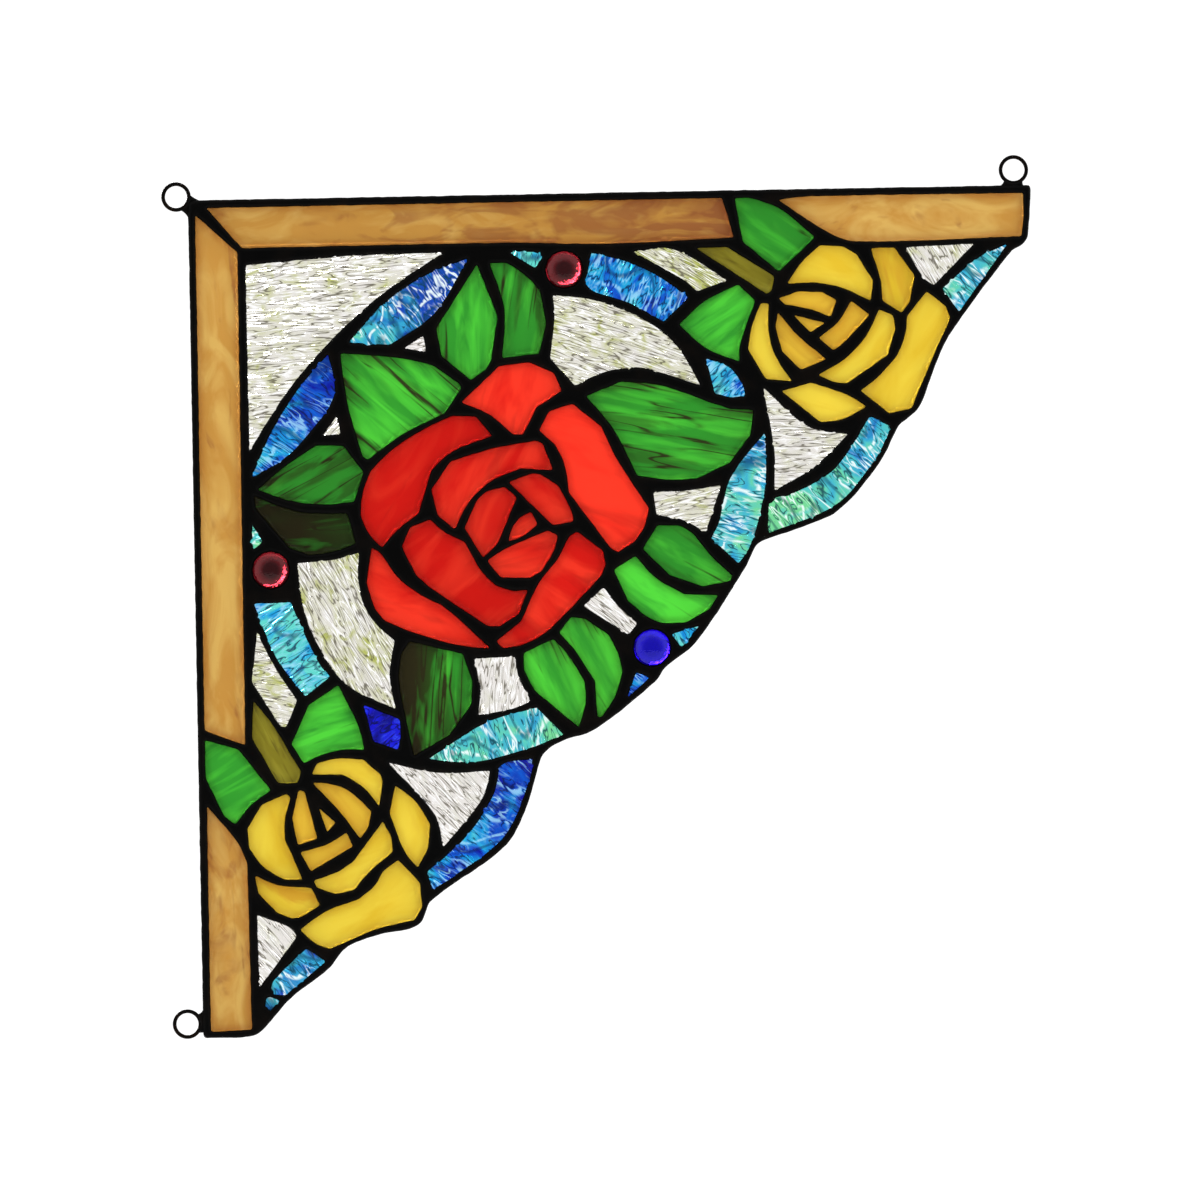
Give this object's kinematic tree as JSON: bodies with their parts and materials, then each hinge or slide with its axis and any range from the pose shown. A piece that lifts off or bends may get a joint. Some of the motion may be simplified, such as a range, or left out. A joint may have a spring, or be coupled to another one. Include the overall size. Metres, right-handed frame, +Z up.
{
  "type": "stained glass window corner panel",
  "caption": "Triangular corner panel of copper-foil stained glass: a red rose, yellow roses, leaves and blue ribbons in dark solder seams, amber along the straight edges, hung by wire rings.",
  "frame": {"origin": "centre of the wire ring at the panel's square corner, in the middle of the panel's thickness", "axes": "+X along the top edge to the right as seen from the front, +Y from the front face to the back, +Z up along the left edge"},
  "size_m": [0.349, 0.0071, 0.347],
  "materials": {
    "solder": "black-patinated solder beads",
    "wire": "dark tinned copper wire",
    "amber_glass": "wispy opalescent sheet",
    "clear_glass": "rippled clear sheet",
    "turquoise_glass": "rippled transparent sheet",
    "azure_glass": "rippled transparent sheet",
    "cobalt_glass": "transparent",
    "red_glass": "streaky opalescent sheet",
    "green_glass": "streaky opalescent sheet",
    "olive_glass": "streaky opalescent sheet",
    "lemon_glass": "opalescent sheet",
    "honey_glass": "opalescent sheet",
    "crimson_gem": "fire-polished pressed gem",
    "cobalt_gem": "fire-polished pressed gem"
  },
  "bodies": {
    "root": {"solder_lattice": "solder", "ring_corner": "wire", "ring_right": "wire", "ring_foot": "wire", "amber_top": "amber_glass", "amber_top_right": "amber_glass", "amber_left": "amber_glass", "amber_foot": "amber_glass", "clear_corner": "clear_glass", "clear_sliver_top": "clear_glass", "clear_sliver_left": "clear_glass", "clear_above_leaf": "clear_glass", "clear_right_stem": "clear_glass", "clear_right_end": "clear_glass", "clear_right_middle": "clear_glass", "clear_right_low": "clear_glass", "clear_left_big": "clear_glass", "clear_left_stem": "clear_glass", "clear_bottom_middle": "clear_glass", "clear_bottom_low": "clear_glass", "clear_between_leaves": "clear_glass", "clear_foot": "clear_glass", "turquoise_upper_left": "turquoise_glass", "turquoise_right_end": "turquoise_glass", "turquoise_right_strip": "turquoise_glass", "turquoise_right_edge": "turquoise_glass", "turquoise_left_sliver": "turquoise_glass", "turquoise_bottom": "turquoise_glass", "turquoise_foot": "turquoise_glass", "azure_left_upper": "azure_glass", "azure_top_sliver": "azure_glass", "azure_top_right": "azure_glass", "azure_rose_gap": "azure_glass", "azure_left_strip": "azure_glass", "azure_bottom_edge": "azure_glass", "azure_above_gem": "azure_glass", "azure_below_gem": "azure_glass", "cobalt_left_rose": "cobalt_glass", "green_leaf_upper_left": "green_glass", "green_leaf_right": "green_glass", "green_leaf_lower_left": "green_glass", "green_leaf_top": "green_glass", "green_leaf_left": "green_glass", "green_leaf_lower_right": "green_glass", "green_leaf_bottom": "green_glass", "green_right_border_leaf": "green_glass", "green_right_inner_leaf": "green_glass", "green_left_border_leaf": "green_glass", "green_left_inner_leaf": "green_glass", "olive_right_stem": "olive_glass", "olive_left_stem": "olive_glass", "red_heart": "red_glass", "red_outer_petals": "red_glass", "honey_right_heart": "honey_glass", "honey_left_heart": "honey_glass", "lemon_right_outer_petals": "lemon_glass", "lemon_left_outer_petals": "lemon_glass", "gem_red_top": "crimson_gem", "gem_red_left": "crimson_gem", "gem_blue": "cobalt_gem"}
  },
  "joints": []
}
